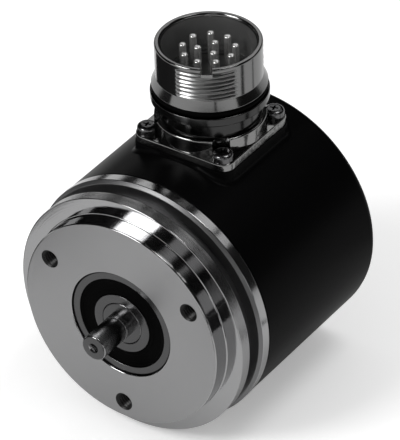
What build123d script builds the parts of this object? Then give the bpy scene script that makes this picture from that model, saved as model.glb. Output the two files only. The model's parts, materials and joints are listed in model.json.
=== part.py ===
from build123d import *
import math
import os

# Absolute multi-turn rotary encoder with a synchro flange and a round socket on top.
# The shaft lies along Y and points to -Y. The origin is the centre of the pilot's front face.
# Millimetres throughout. Sizes come first, then stations worked out from them, then the pieces.

# Flange
pilot_d = 50.0
pilot_len = 4.0
flange_d = 58.0
flange_thk = 3.0
clamp_groove_w = 3.4
clamp_groove_depth = 2.5
band_w = 3.0
band_rise = 0.7
register_len = 6.0
pilot_chamfer = 0.35
band_chamfer = 0.7
mount_pcd = 42.0
mount_count = 3
mount_bore_d = 3.3
mount_depth = 8.0
mount_first_angle = 30.0

# Bearings
shaft_journal_d = 10.0
front_bearing_od = 26.0
front_bearing_w = 8.0
front_inner_wall = 2.2
front_outer_wall = 1.9
front_ball_d = 4.4
front_ball_count = 7
rear_bearing_od = 22.0
rear_bearing_w = 6.0
rear_inner_wall = 1.8
rear_outer_wall = 1.8
rear_ball_d = 3.0
rear_ball_count = 9
bearing_recess = 0.5
seal_inset = 0.25
seal_thk = 0.7
seal_gap = 0.08
cage_thickness = 1.4
cage_end_gap = 0.2
pocket_play = 0.15
bearing_lip_w = 1.5
bearing_lip_h = 1.6
spring_height = 1.0
spring_thk = 0.4
spring_edge_gap = 0.1

# Shaft
shaft_end_d = 6.0
shaft_end_len = 10.0
shaft_end_chamfer = 0.45
centre_hole_d = 1.6
centre_hole_depth = 3.0
hub_seat_d = 8.0
tail_d = 4.0
pinion_seat_d = 1.6

# Code disc, lamp and scanning unit
hub_flange_d = 14.0
hub_flange_thk = 1.6
hub_shank_d = 12.6
hub_height = 6.0
disc_clearance = 1.0
disc_thk = 1.0
clamp_ring_d = 13.6
clamp_ring_thk = 0.9
scan_inset = 2.9
scan_angle = 215.0
lamp_block_w = 8.0
lamp_block_len = 5.0
lamp_disc_gap = 0.7
lamp_d = 3.0
lamp_len = 2.4
lens_thk = 0.8
mask_gap = 0.35
mask_thk = 0.7
mask_side = 5.0
chip_thk = 1.0
chip_side = 6.0

# Boards and the pillars between them
board_thk = 1.6
board_gap = 2.4
board_top_drop = 12.0
plate_top_drop = 4.0
board_hole_d = 12.0
pillar_inset = 3.5
pillar_flats = 5.0
gear_plate_gap = 3.4
cover_gap = 10.65

# Revolution counting gears
gear_module = 0.45
pinion_teeth = 8
wheel_teeth = 32
wheel_addendum = 0.75
pinion_addendum = 0.9
root_clearance = 0.3
tooth_play = 0.1
pressure_angle = 20.0
wheel_face = 1.2
level_gap = 0.7
pinion_overlap = 0.2
gear_plate_thk = 1.4
wheel_float = 0.3
post_d = 1.6
post_play = 0.04
hub_d = 2.6
hub_rise = 1.2
magnet_d = 2.5
magnet_thk = 1.2
magnet_sensor_gap = 0.8
wheel_1_angle = 193.0
wheel_2_angle = 347.0
wheel_3_angle = 13.0
plate_hole_d = 5.0
hall_side = 3.0
hall_thk = 0.9
processor_side = 9.0
processor_thk = 1.4
processor_drop = 3.0

# Cover
cover_step = 0.1
cover_wall = 2.0
cover_back_thk = 2.5
cover_edge_r = 2.2
cover_fit = 0.1
cover_seal_thk = 0.3
pad_rise = 0.4
pad_margin = 0.2
pad_corner_r = 3.2
cover_screw_d = 2.5
cover_screw_len = 6.0
cover_screw_head_d = 4.7
cover_screw_play = 0.1

# Socket on top
socket_y = 36.2
plate_margin = 0.6
plate_thk = 1.8
plate_corner_r = 3.0
screw_inset = 2.7
socket_screw_d = 2.5
socket_screw_head_d = 4.5
socket_screw_head_h = 1.9
socket_screw_depth = 4.0
screw_play = 0.1
collar_rise = 0.3
collar_h = 3.7
collar_notch_play = 0.45
spigot_d = 20.4
spigot_h = 2.0
neck_depth = 0.8
neck_h = 3.8
lip_rise = 1.0
lip_h = 2.1
seal_w = 1.5
seal_h = 1.6
cone_rise = 0.75
cone_h = 2.1
barrel_d = 24.0
barrel_h = 8.1
barrel_wall = 1.7
throat_step = 1.6
rim_slot_w = 2.6
rim_slot_h = 2.2
rim_slot_angle = -58.0
insert_play = 0.1
insert_face_down = 9.2
insert_flange_thk = 1.5
insert_tail = 4.5
contact_d = 1.6
contact_tip_down = 1.6
contact_outer_count = 9
contact_outer_pcd = 11.6
contact_inner_count = 3
contact_inner_pcd = 4.8
socket_board_gap = 0.2
socket_board_thk = 1.2
ribbon_w = 14.0
ribbon_thk = 0.6
ribbon_bend_r = 1.8
ribbon_socket_h = 2.4
ribbon_socket_len = 6.0
ribbon_socket_w = 16.0
header_h = 4.4
header_depth = 3.0
link_w = 10.0
link_thk = 0.4
link_block_h = 2.6
link_block_w = 12.0
link_block_len = 2.2
link_drop = 0.6

# Stations along Y
y_shoulder = pilot_len
y_groove = y_shoulder + flange_thk
y_band = y_groove + clamp_groove_w
y_band_end = y_band + band_w
y_cover = y_band_end + cover_seal_thk
y_register_end = y_band_end + register_len
y_front_bearing = bearing_recess
y_lip = y_front_bearing + front_bearing_w
y_spring = y_lip + bearing_lip_w
y_rear_bearing = y_spring + spring_height
y_hub = y_rear_bearing + rear_bearing_w
y_disc = y_hub + hub_height
y_clamp = y_disc + disc_thk
y_mask = y_clamp + mask_gap
y_chip = y_mask + mask_thk
y_sensor_board = y_chip + chip_thk
y_gear_plate = y_sensor_board + board_thk + gear_plate_gap
y_gear_floor = y_gear_plate + gear_plate_thk
y_level = [y_gear_floor + wheel_float + i * (wheel_face + level_gap) for i in range(3)]
y_hub_top = y_level[2] + wheel_face + hub_rise
y_magnet_end = y_hub_top + magnet_thk
y_interface_board = y_magnet_end + magnet_sensor_gap + hall_thk
y_cover_floor = y_interface_board + board_thk + cover_gap
y_end = y_cover_floor + cover_back_thk

# Radii and heights that several pieces share
front_inner_land_d = shaft_journal_d + 2 * front_inner_wall
front_outer_land_d = front_bearing_od - 2 * front_outer_wall
rear_inner_land_d = shaft_journal_d + 2 * rear_inner_wall
rear_outer_land_d = rear_bearing_od - 2 * rear_outer_wall
clamp_groove_d = flange_d - 2 * clamp_groove_depth
band_r = flange_d / 2 + band_rise
cover_r = band_r - cover_step
cover_inner_r = cover_r - cover_wall
register_r = cover_inner_r - cover_fit
board_d = 2 * (cover_inner_r - board_gap)
pillar_r = board_d / 2 - pillar_inset
disc_d = 2 * (pillar_r - pillar_flats / 2 - disc_clearance)
scan_radius = disc_d / 2 - scan_inset
plate_side = barrel_d + 2 * plate_margin
pad_side = plate_side + 2 * pad_margin
screw_pitch = plate_side - 2 * screw_inset
seat_r = barrel_d / 2 - neck_depth
barrel_bore_d = barrel_d - 2 * barrel_wall
throat_d = barrel_bore_d - 2 * throat_step
pad_height = cover_r + pad_rise
board_top = pad_height - board_top_drop
plate_top = board_top - plate_top_drop
pillar_angles = [mount_first_angle + i * 360 / mount_count for i in range(mount_count)]
gear_distance = gear_module * (pinion_teeth + wheel_teeth) / 2
gear_line_angles = (wheel_1_angle, wheel_2_angle, wheel_3_angle)
z_collar = pad_height + plate_thk
z_neck = z_collar + collar_h
z_lip = z_neck + neck_h
z_seal = z_lip + lip_h
z_cone = z_seal + seal_h
z_barrel = z_cone + cone_h
z_rim = z_barrel + barrel_h
z_insert_face = z_rim - insert_face_down
z_insert_step = z_insert_face - insert_flange_thk
z_insert_end = pad_height - insert_tail
screw_spots = [(sx * screw_pitch / 2, sy * screw_pitch / 2) for sx in (-1, 1) for sy in (-1, 1)]


def turned(points):
    """Solid of revolution about the shaft axis, from (radius, y) points."""
    return revolve(make_face(Polyline(*points, close=True)), axis=Axis.Y)


def ring(outer_r, inner_r, y0, y1):
    """Plain ring about the shaft axis."""
    return turned([(inner_r, y0), (outer_r, y0), (outer_r, y1), (inner_r, y1)])


def turned_up(points):
    """Solid of revolution about the socket axis, from (radius, z) points."""
    profile = Plane.XZ * make_face(Polyline(*points, close=True))
    return Pos(0, socket_y, 0) * revolve(profile, axis=Axis.Z)


def spot(radius, angle):
    """X and Z of a point at an angle about the shaft axis, counted from +X towards +Z."""
    return radius * math.cos(math.radians(angle)), radius * math.sin(math.radians(angle))


def rod(radius, y0, y1, x=0.0, z=0.0):
    """Cylinder along Y."""
    base = Pos(x, y0, z) * Rot(-90, 0, 0)
    return base * Cylinder(radius, y1 - y0, align=(Align.CENTER, Align.CENTER, Align.MIN))


def post(radius, z0, z1, x=0.0, y=0.0):
    """Cylinder along Z, placed from the socket axis."""
    base = Pos(x, socket_y + y, z0)
    return base * Cylinder(radius, z1 - z0, align=(Align.CENTER, Align.CENTER, Align.MIN))


def block(x0, x1, y0, y1, z0, z1):
    """Box between two corners."""
    return Pos(x0, y0, z0) * Box(x1 - x0, y1 - y0, z1 - z0, align=Align.MIN)


# Flange


def make_flange_body():
    """Turned flange with pilot, synchro clamp groove, register for the cover and bearing seats."""
    pilot_r = pilot_d / 2
    rim_r = flange_d / 2
    groove_r = clamp_groove_d / 2
    front_r = front_bearing_od / 2
    rear_r = rear_bearing_od / 2
    body = turned(
        [
            (front_r, 0),
            (pilot_r - pilot_chamfer, 0),
            (pilot_r, pilot_chamfer),
            (pilot_r, y_shoulder),
            (rim_r, y_shoulder),
            (rim_r, y_groove),
            (groove_r, y_groove),
            (groove_r, y_band),
            (band_r - band_chamfer, y_band),
            (band_r, y_band + band_chamfer),
            (band_r, y_band_end),
            (register_r, y_band_end),
            (register_r, y_register_end),
            (rear_r, y_register_end),
            (rear_r, y_spring),
            (rear_r - bearing_lip_h, y_spring),
            (rear_r - bearing_lip_h, y_lip),
            (front_r, y_lip),
        ]
    )
    for i in range(mount_count):
        x, z = spot(mount_pcd / 2, mount_first_angle + i * 360 / mount_count)
        body -= rod(mount_bore_d / 2, 0, mount_depth, x, z)
    return body


# Ball bearings


def bearing(od, width, inner_land_d, outer_land_d, ball_d, ball_count, y0):
    """Deep groove bearing: outer ring, inner ring and the cage that spaces the balls."""
    bore_r = shaft_journal_d / 2
    outer = ring(od / 2, outer_land_d / 2, y0, y0 + width)
    inner = ring(inner_land_d / 2, bore_r, y0, y0 + width)
    pitch_r = (bore_r + od / 2) / 2
    clear = seal_inset + seal_thk + cage_end_gap
    start = y0 + clear
    end = y0 + width - clear
    cage = ring(pitch_r + cage_thickness / 2, pitch_r - cage_thickness / 2, start, end)
    pocket_w = ball_d + 2 * pocket_play
    pocket_start = y0 + width / 2 - pocket_w / 2
    for i in range(ball_count):
        slot = block(pitch_r - cage_thickness, pitch_r + cage_thickness, pocket_start, end + 1, 0, pocket_w)
        cage -= Rot(0, 90 - i * 360 / ball_count, 0) * Pos(0, 0, -pocket_w / 2) * slot
    return outer, inner, cage


def make_front_bearing_seal():
    """Rubber seal clipped into the front bearing's outer ring, just clear of the inner ring."""
    start = y_front_bearing + seal_inset
    return ring(front_outer_land_d / 2, front_inner_land_d / 2 + seal_gap, start, start + seal_thk)


def make_rear_bearing_shield():
    """Steel shield on the rear bearing's disc side."""
    end = y_rear_bearing + rear_bearing_w - seal_inset
    return ring(rear_outer_land_d / 2, rear_inner_land_d / 2 + seal_gap, end - seal_thk, end)


def make_preload_spring():
    """Conical disc spring that loads the rear bearing's outer ring."""
    outer_r = rear_bearing_od / 2 - spring_edge_gap
    inner_r = rear_outer_land_d / 2
    return turned(
        [
            (inner_r, y_spring),
            (inner_r, y_spring + spring_thk),
            (outer_r, y_rear_bearing),
            (outer_r, y_rear_bearing - spring_thk),
        ]
    )


def make_bearing_spacer():
    """Sleeve that keeps the two inner rings apart."""
    return ring(rear_inner_land_d / 2, shaft_journal_d / 2, y_lip, y_rear_bearing)


# Shaft and what turns with it

y_tail_end = y_level[0] - pinion_overlap
y_pinion_end = y_level[0] + wheel_face + pinion_overlap


def make_shaft():
    """Stepped shaft with a centre hole in front and a seat for the drive pinion behind."""
    end_r = shaft_end_d / 2
    journal_r = shaft_journal_d / 2
    hole_r = centre_hole_d / 2
    c = shaft_end_chamfer
    return turned(
        [
            (0, centre_hole_depth - shaft_end_len),
            (hole_r, centre_hole_depth - shaft_end_len),
            (hole_r, -shaft_end_len),
            (end_r - c, -shaft_end_len),
            (end_r, c - shaft_end_len),
            (end_r, y_front_bearing),
            (journal_r, y_front_bearing),
            (journal_r, y_hub),
            (hub_seat_d / 2, y_hub),
            (hub_seat_d / 2, y_clamp + clamp_ring_thk),
            (tail_d / 2, y_clamp + clamp_ring_thk),
            (tail_d / 2, y_tail_end),
            (pinion_seat_d / 2, y_tail_end),
            (pinion_seat_d / 2, y_pinion_end),
            (0, y_pinion_end),
        ]
    )


def make_disc_hub():
    """Hub on the shaft's rear seat. It clamps the inner rings and its flange carries the disc."""
    seat_r = hub_seat_d / 2
    return turned(
        [
            (seat_r, y_hub),
            (hub_shank_d / 2, y_hub),
            (hub_shank_d / 2, y_disc - hub_flange_thk),
            (hub_flange_d / 2, y_disc - hub_flange_thk),
            (hub_flange_d / 2, y_disc),
            (seat_r, y_disc),
        ]
    )


# Gears


def involute(angle):
    return math.tan(angle) - angle


def gear(teeth, addendum, mate_addendum, phase, x, z, y0, y1):
    """Spur gear along Y at (x, z), with a tooth centred at the phase angle."""
    pressure = math.radians(pressure_angle)
    pitch_r = gear_module * teeth / 2
    base_r = pitch_r * math.cos(pressure)
    tip_r = pitch_r + gear_module * addendum
    root_r = pitch_r - gear_module * (mate_addendum + root_clearance)
    half_pitch = math.pi / (2 * teeth) - tooth_play / (2 * pitch_r)

    def half_angle(radius):
        return half_pitch + involute(pressure) - involute(math.acos(min(1.0, base_r / radius)))

    points = []
    for i in range(teeth):
        middle = math.radians(phase) + 2 * math.pi * i / teeth
        for radius, side in ((root_r, -1), (tip_r, -1), (tip_r, 1), (root_r, 1)):
            angle = middle + side * half_angle(radius)
            points.append((x + radius * math.cos(angle), z + radius * math.sin(angle)))
    face = Plane((0, y0, 0), x_dir=(1, 0, 0), z_dir=(0, -1, 0)) * make_face(Polyline(*points, close=True))
    return extrude(face, amount=y0 - y1)


def wheel_centres():
    """Centres of the three revolution wheels, each one gear distance from the last."""
    centres = []
    x, z = 0.0, 0.0
    for angle in gear_line_angles:
        dx, dz = spot(gear_distance, angle)
        x, z = x + dx, z + dz
        centres.append((x, z))
    return centres


def wheel_phase(line_angle):
    """Phase of a wheel whose gap meets a tooth of a pinion that has a tooth along +X."""
    return line_angle + 180 + 180 / wheel_teeth + line_angle * pinion_teeth / wheel_teeth


def make_drive_pinion():
    """Pinion pressed on the shaft's rear end."""
    pinion = gear(pinion_teeth, pinion_addendum, wheel_addendum, 0, 0, 0, y_tail_end, y_pinion_end)
    return pinion - rod(pinion_seat_d / 2, y_tail_end, y_pinion_end)


def make_turn_wheel(index):
    """Revolution wheel: foot, gear, pinion for the next wheel and a hub that carries the magnet."""
    x, z = wheel_centres()[index]
    y0 = y_level[index]
    y1 = y0 + wheel_face
    phase = wheel_phase(gear_line_angles[index])
    wheel = gear(wheel_teeth, wheel_addendum, pinion_addendum, phase, x, z, y0, y1)
    if index > 0:
        wheel += rod(hub_d / 2, y_level[0], y0, x, z)
    if index < 2:
        y1 = y_level[index + 1] + wheel_face + pinion_overlap
        wheel += gear(pinion_teeth, pinion_addendum, wheel_addendum, 0, x, z, y0 + wheel_face, y1)
    wheel += rod(hub_d / 2, y1, y_hub_top, x, z)
    return wheel - rod(post_d / 2 + post_play, y_level[0], y_hub_top - magnet_thk / 2, x, z)


def make_turn_magnet(index):
    """Round magnet bonded on the end of the wheel's hub."""
    x, z = wheel_centres()[index]
    return rod(magnet_d / 2, y_hub_top, y_magnet_end, x, z)


def flat_topped(diameter, top, y0, y1):
    """Round plate across the shaft axis, cut straight at the top to pass under the socket."""
    disc = rod(diameter / 2, y0, y1)
    return disc - block(-diameter, diameter, y0, y1, top, diameter)


def make_gear_base_plate():
    """Moulded plate with a hole for the shaft and a post for each revolution wheel."""
    plate = flat_topped(board_d, plate_top, y_gear_plate, y_gear_floor)
    plate -= rod(plate_hole_d / 2, y_gear_plate, y_gear_floor)
    for x, z in wheel_centres():
        plate += rod(post_d / 2, y_gear_floor, y_hub_top - magnet_thk, x, z)
    return plate


# Lamp and scanning unit


def scan_block(length, width, y0, y1):
    """Box centred on the scanning radius, at the scanning angle."""
    box = block(scan_radius - length / 2, scan_radius + length / 2, y0, y1, -width / 2, width / 2)
    return Rot(0, -scan_angle, 0) * box


def scan_rod(radius, y0, y1):
    return rod(radius, y0, y1, *spot(scan_radius, scan_angle))


y_lamp_end = y_disc - lamp_disc_gap


def make_lamp_holder():
    """Block on the flange's rear face that aims the lamp through the disc."""
    body = scan_block(lamp_block_len, lamp_block_w, y_register_end, y_lamp_end)
    return body - scan_rod(lamp_d / 2, y_register_end, y_lamp_end)


def make_lamp():
    """Light emitting diode at the bottom of its holder."""
    return scan_rod(lamp_d / 2, y_register_end, min(y_register_end + lamp_len, y_lamp_end - lens_thk))


def make_lamp_lens():
    """Glass lens that turns the lamp's light parallel."""
    return scan_rod(lamp_d / 2, y_lamp_end - lens_thk, y_lamp_end)


# Boards


def make_board(y0, hole_d):
    board = flat_topped(board_d, board_top, y0, y0 + board_thk)
    if hole_d:
        board -= rod(hole_d / 2, y0, y0 + board_thk)
    return board


def make_pillars(y0, y1):
    """Three hexagonal pillars."""
    pillars = []
    for angle in pillar_angles:
        x, z = spot(pillar_r, angle)
        prism = extrude(RegularPolygon(pillar_flats / 2, 6, major_radius=False), amount=y1 - y0)
        pillars.append(Pos(x, y0, z) * Rot(-90, 0, 0) * prism)
    return pillars


def make_cover_pillars():
    """Rear pillars, tapped for the cover's screws."""
    y0 = y_interface_board + board_thk
    tapped = []
    for pillar, angle in zip(make_pillars(y0, y_cover_floor), pillar_angles):
        x, z = spot(pillar_r, angle)
        tapped.append(pillar - rod(cover_screw_d / 2, y_end - cover_screw_len, y_cover_floor, x, z))
    return Compound(tapped)


def make_hall_sensors():
    """Field sensors on the interface board, one over each magnet."""
    half = hall_side / 2
    y0 = y_interface_board - hall_thk
    sensors = []
    for x, z in wheel_centres():
        sensors.append(block(x - half, x + half, y0, y_interface_board, z - half, z + half))
    return Compound(sensors)


def make_signal_processor():
    y0 = y_interface_board + board_thk
    half = processor_side / 2
    return block(-half, half, y0, y0 + processor_thk, -half - processor_drop, half - processor_drop)


y_link = y_sensor_board + board_thk
z_link_top = board_top - link_drop


def make_link_sockets():
    """Two small sockets that hold the link between the boards."""
    half = link_block_w / 2
    z0 = z_link_top - link_block_h
    low = block(-half, half, y_link, y_link + link_block_len, z0, z_link_top)
    high = block(-half, half, y_interface_board - link_block_len, y_interface_board, z0, z_link_top)
    return Compound([low, high])


def make_board_link():
    """Flat conductor strip from the sensor board to the interface board."""
    half = link_w / 2
    middle = z_link_top - link_block_h / 2
    y0 = y_link + link_block_len
    y1 = y_interface_board - link_block_len
    return block(-half, half, y0, y1, middle - link_thk / 2, middle + link_thk / 2)


# Cover


def socket_square(side, corner_r, z):
    """Rounded square across the socket axis."""
    return Pos(0, socket_y, z) * RectangleRounded(side, side, corner_r)


def make_housing_cover():
    """Round cover with the raised pad that the socket sits on."""
    shell = rod(cover_r, y_cover, y_end)
    rear_edge = shell.edges().filter_by(GeomType.CIRCLE).sort_by(Axis.Y)[-1]
    shell = fillet(rear_edge, cover_edge_r)
    pad_foot = math.sqrt(cover_r**2 - (pad_side / 2) ** 2) - cover_wall / 2
    shell += extrude(socket_square(pad_side, pad_corner_r, pad_foot), amount=pad_height - pad_foot)
    shell -= rod(cover_inner_r, y_cover, y_cover_floor)
    shell -= post(throat_d / 2, 0, pad_height)
    for x, y in screw_spots:
        shell -= post(socket_screw_d / 2, pad_height - socket_screw_depth, pad_height, x, y)
    head_r = cover_screw_head_d / 2 + cover_screw_play
    shank_r = cover_screw_d / 2 + cover_screw_play
    sink = turned(
        [
            (0, y_end),
            (head_r, y_end),
            (shank_r, y_end - (head_r - shank_r)),
            (shank_r, y_cover_floor),
            (0, y_cover_floor),
        ]
    )
    for angle in pillar_angles:
        x, z = spot(pillar_r, angle)
        shell -= Pos(x, 0, z) * sink
    return shell


def make_cover_seal():
    """Flat sealing ring between the flange's band and the cover."""
    return ring(cover_r, register_r, y_band_end, y_cover)


def make_cover_screws():
    """Countersunk screws in the cover's back wall."""
    head_r = cover_screw_head_d / 2
    shank_r = cover_screw_d / 2
    top = y_end - cover_screw_play
    screw = turned(
        [
            (0, top),
            (head_r, top),
            (shank_r, top - (head_r - shank_r)),
            (shank_r, y_end - cover_screw_len),
            (0, y_end - cover_screw_len),
        ]
    )
    screws = []
    for angle in pillar_angles:
        x, z = spot(pillar_r, angle)
        screws.append(Pos(x, 0, z) * screw)
    return Compound(screws)


# Socket


def make_connector_flange():
    """Cast flange of the socket: square plate and a round collar notched for the screw heads."""
    flange = extrude(socket_square(plate_side, plate_corner_r, pad_height), amount=plate_thk)
    flange += post(barrel_d / 2 + collar_rise, z_collar, z_neck)
    flange -= post(throat_d / 2, pad_height, z_neck)
    flange -= post(spigot_d / 2, z_neck - spigot_h, z_neck)
    for x, y in screw_spots:
        flange -= post(socket_screw_head_d / 2 + collar_notch_play, z_collar, z_neck, x, y)
        flange -= post(socket_screw_d / 2 + screw_play, pad_height, z_collar, x, y)
    return flange


def make_connector_barrel():
    """Turned barrel: spigot, neck, lip, seal seat, cone and the threaded wall with its keyway."""
    barrel_r = barrel_d / 2
    barrel = turned_up(
        [
            (throat_d / 2, z_neck - spigot_h),
            (spigot_d / 2, z_neck - spigot_h),
            (spigot_d / 2, z_neck),
            (seat_r, z_neck),
            (seat_r, z_lip),
            (barrel_r + lip_rise, z_lip),
            (barrel_r + lip_rise, z_seal),
            (seat_r, z_seal),
            (seat_r, z_cone),
            (barrel_r + cone_rise, z_cone),
            (barrel_r, z_barrel),
            (barrel_r, z_rim),
            (barrel_bore_d / 2, z_rim),
            (barrel_bore_d / 2, z_insert_step),
            (throat_d / 2, z_insert_step),
        ]
    )
    slot = block(0, barrel_d, -rim_slot_w / 2, rim_slot_w / 2, z_rim - rim_slot_h, z_rim)
    return barrel - Pos(0, socket_y, 0) * Rot(0, 0, rim_slot_angle) * slot


def make_connector_seal():
    """Sealing ring on its seat between the lip and the cone."""
    return post(seat_r + seal_w, z_seal, z_cone) - post(seat_r, z_seal, z_cone)


def make_connector_insert():
    """Insulating insert that carries the contacts, stepped down into the throat."""
    flange_r = barrel_bore_d / 2 - insert_play
    tail_r = throat_d / 2 - insert_play
    return turned_up(
        [
            (0, z_insert_end),
            (tail_r, z_insert_end),
            (tail_r, z_insert_step),
            (flange_r, z_insert_step),
            (flange_r, z_insert_face),
            (0, z_insert_face),
        ]
    )


def make_connector_contacts():
    """Round contacts in two circles on the insert's face."""
    spots = [spot(contact_outer_pcd / 2, i * 360 / contact_outer_count) for i in range(contact_outer_count)]
    spots += [spot(contact_inner_pcd / 2, 90 + i * 360 / contact_inner_count) for i in range(contact_inner_count)]
    return Compound([post(contact_d / 2, z_insert_face, z_rim - contact_tip_down, x, y) for x, y in spots])


def make_connector_screws():
    """Cylinder head screws through the plate's corners into the cover's pad."""
    screw = post(socket_screw_head_d / 2, z_collar, z_collar + socket_screw_head_h)
    screw += post(socket_screw_d / 2, pad_height - socket_screw_depth, z_collar)
    return Compound([Pos(x, y, 0) * screw for x, y in screw_spots])


z_socket_board = z_insert_end - socket_board_thk
z_ribbon = z_socket_board - ribbon_socket_h / 2
y_ribbon_start = socket_y + ribbon_socket_len / 2
y_header = y_interface_board + board_thk
z_header_top = board_top - link_drop - ribbon_bend_r


def make_connector_board():
    """Small round board behind the insert, where the contacts are soldered."""
    return post(throat_d / 2 - socket_board_gap, z_socket_board, z_insert_end)


def make_ribbon_sockets():
    """Ribbon sockets: one under the socket's board, one on the interface board's rear face."""
    half = ribbon_socket_w / 2
    y0 = y_ribbon_start - ribbon_socket_len
    top = block(-half, half, y0, y_ribbon_start, z_socket_board - ribbon_socket_h, z_socket_board)
    rear = block(-half, half, y_header, y_header + header_depth, z_header_top - header_h, z_header_top)
    return Compound([top, rear])


def make_connector_ribbon():
    """Flat cable from the socket's board over the interface board's edge to its header."""
    y_down = y_header + header_depth / 2
    path = FilletPolyline(
        (0, y_ribbon_start, z_ribbon), (0, y_down, z_ribbon), (0, y_down, z_header_top), radius=ribbon_bend_r
    )
    section = Plane(path @ 0, x_dir=(1, 0, 0), z_dir=(0, 1, 0)) * Rectangle(ribbon_w, ribbon_thk)
    return sweep(section, path=path)


def bearings():
    """Pieces of the front and the rear bearing by name."""
    front = bearing(
        front_bearing_od,
        front_bearing_w,
        front_inner_land_d,
        front_outer_land_d,
        front_ball_d,
        front_ball_count,
        y_front_bearing,
    )
    rear = bearing(
        rear_bearing_od,
        rear_bearing_w,
        rear_inner_land_d,
        rear_outer_land_d,
        rear_ball_d,
        rear_ball_count,
        y_rear_bearing,
    )
    named = {}
    for name, pieces in (("front", front), ("rear", rear)):
        for piece, solid in zip(("outer_ring", "inner_ring", "cage"), pieces):
            named[f"{name}_bearing_{piece}"] = solid
    return named


def build():
    """Every piece by name."""
    mask = scan_block(mask_side, mask_side, y_mask, y_chip)
    chip = scan_block(chip_side, chip_side, y_chip, y_sensor_board)
    parts = {
        "flange_body": make_flange_body(),
        **bearings(),
        "front_bearing_seal": make_front_bearing_seal(),
        "rear_bearing_shield": make_rear_bearing_shield(),
        "preload_spring": make_preload_spring(),
        "bearing_spacer": make_bearing_spacer(),
        "shaft": make_shaft(),
        "disc_hub": make_disc_hub(),
        "code_disc": ring(disc_d / 2, hub_seat_d / 2, y_disc, y_clamp),
        "disc_clamp_ring": ring(clamp_ring_d / 2, hub_seat_d / 2, y_clamp, y_clamp + clamp_ring_thk),
        "drive_pinion": make_drive_pinion(),
        "gear_base_plate": make_gear_base_plate(),
        "lamp_holder": make_lamp_holder(),
        "lamp": make_lamp(),
        "lamp_lens": make_lamp_lens(),
        "scanning_mask": mask,
        "sensor_chip": chip,
        "sensor_board": make_board(y_sensor_board, board_hole_d),
        "interface_board": make_board(y_interface_board, 0),
        "sensor_board_pillars": Compound(make_pillars(y_register_end, y_sensor_board)),
        "gear_plate_pillars": Compound(make_pillars(y_sensor_board + board_thk, y_gear_plate)),
        "interface_board_pillars": Compound(make_pillars(y_gear_floor, y_interface_board)),
        "cover_pillars": make_cover_pillars(),
        "hall_sensors": make_hall_sensors(),
        "signal_processor": make_signal_processor(),
        "link_sockets": make_link_sockets(),
        "board_link": make_board_link(),
        "housing_cover": make_housing_cover(),
        "cover_seal": make_cover_seal(),
        "cover_screws": make_cover_screws(),
        "connector_flange": make_connector_flange(),
        "connector_barrel": make_connector_barrel(),
        "connector_seal": make_connector_seal(),
        "connector_insert": make_connector_insert(),
        "connector_contacts": make_connector_contacts(),
        "connector_screws": make_connector_screws(),
        "connector_board": make_connector_board(),
        "ribbon_sockets": make_ribbon_sockets(),
        "connector_ribbon": make_connector_ribbon(),
    }
    for i in range(3):
        parts[f"turn_wheel_{i + 1}"] = make_turn_wheel(i)
        parts[f"turn_magnet_{i + 1}"] = make_turn_magnet(i)
    return parts


os.makedirs("parts", exist_ok=True)
for part_name, shape in build().items():
    export_step(shape, f"parts/{part_name}.step")
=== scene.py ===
# %% [markdown]
# A rotary encoder with a turned flange, a black cover and a round socket. This lesson dresses the
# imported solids: it remakes the parts that show as fine meshes, gives every part its finish, and
# lights it like a small studio product. The shaft lies along Y and points to -Y, the socket points
# up, and the origin is the middle of the pilot's front face.

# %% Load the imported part
import json
import math

import bmesh
import bpy
from mathutils import Matrix, Vector


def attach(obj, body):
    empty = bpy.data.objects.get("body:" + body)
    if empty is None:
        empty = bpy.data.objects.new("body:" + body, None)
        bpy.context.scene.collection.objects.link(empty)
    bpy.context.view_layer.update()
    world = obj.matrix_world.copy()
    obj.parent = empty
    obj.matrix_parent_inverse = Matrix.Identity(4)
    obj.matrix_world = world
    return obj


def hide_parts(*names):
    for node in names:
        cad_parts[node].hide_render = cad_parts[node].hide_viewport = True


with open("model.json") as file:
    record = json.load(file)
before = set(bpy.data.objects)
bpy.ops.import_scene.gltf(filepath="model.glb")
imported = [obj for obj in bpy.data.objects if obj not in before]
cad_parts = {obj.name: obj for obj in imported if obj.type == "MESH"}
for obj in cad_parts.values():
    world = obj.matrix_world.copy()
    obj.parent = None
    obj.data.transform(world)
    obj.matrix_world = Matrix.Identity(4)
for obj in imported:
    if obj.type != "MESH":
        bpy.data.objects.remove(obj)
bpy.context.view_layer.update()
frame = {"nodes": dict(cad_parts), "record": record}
solid = frame["nodes"]
mm = 0.001

# %% [markdown]
# Almost everything on an encoder comes off a lathe, so the main helper is a lathe too. A few points
# of a half section are joined by edges, their corners are eased by a vertex bevel, and a spin turns
# the line into a closed skin. A point is (distance from the axis, place along it, ease), in
# millimetres. Modelling every ring from a cylinder primitive would need many more steps, and its
# edges would stay knife sharp.

# %% A lathe: half section, eased corners, full spin
AXIS_SHAFT = Vector((0, 1, 0))
AXIS_SOCKET = Vector((0, 0, 1))
socket_y = 36.2


def half_section(bm, points, place):
    """Closed loop of edges through (radius, along, ease) points, in millimetres."""
    corners = [bm.verts.new(place(p[0], p[1])) for p in points]
    for i, corner in enumerate(corners):
        bm.edges.new((corner, corners[(i + 1) % len(corners)]))
    for radius in sorted({p[2] for p in points if len(p) > 2}):
        eased = [c for c, p in zip(corners, points) if len(p) > 2 and p[2] == radius]
        bmesh.ops.bevel(
            bm, geom=eased, offset=radius * mm, segments=4, profile=0.5, affect="VERTICES",
            material=-1,
        )  # fmt: skip


def on_shaft(radius, along):
    return Vector((radius, along, 0)) * mm


def on_socket(radius, height):
    return Vector((radius, socket_y, height)) * mm


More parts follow.
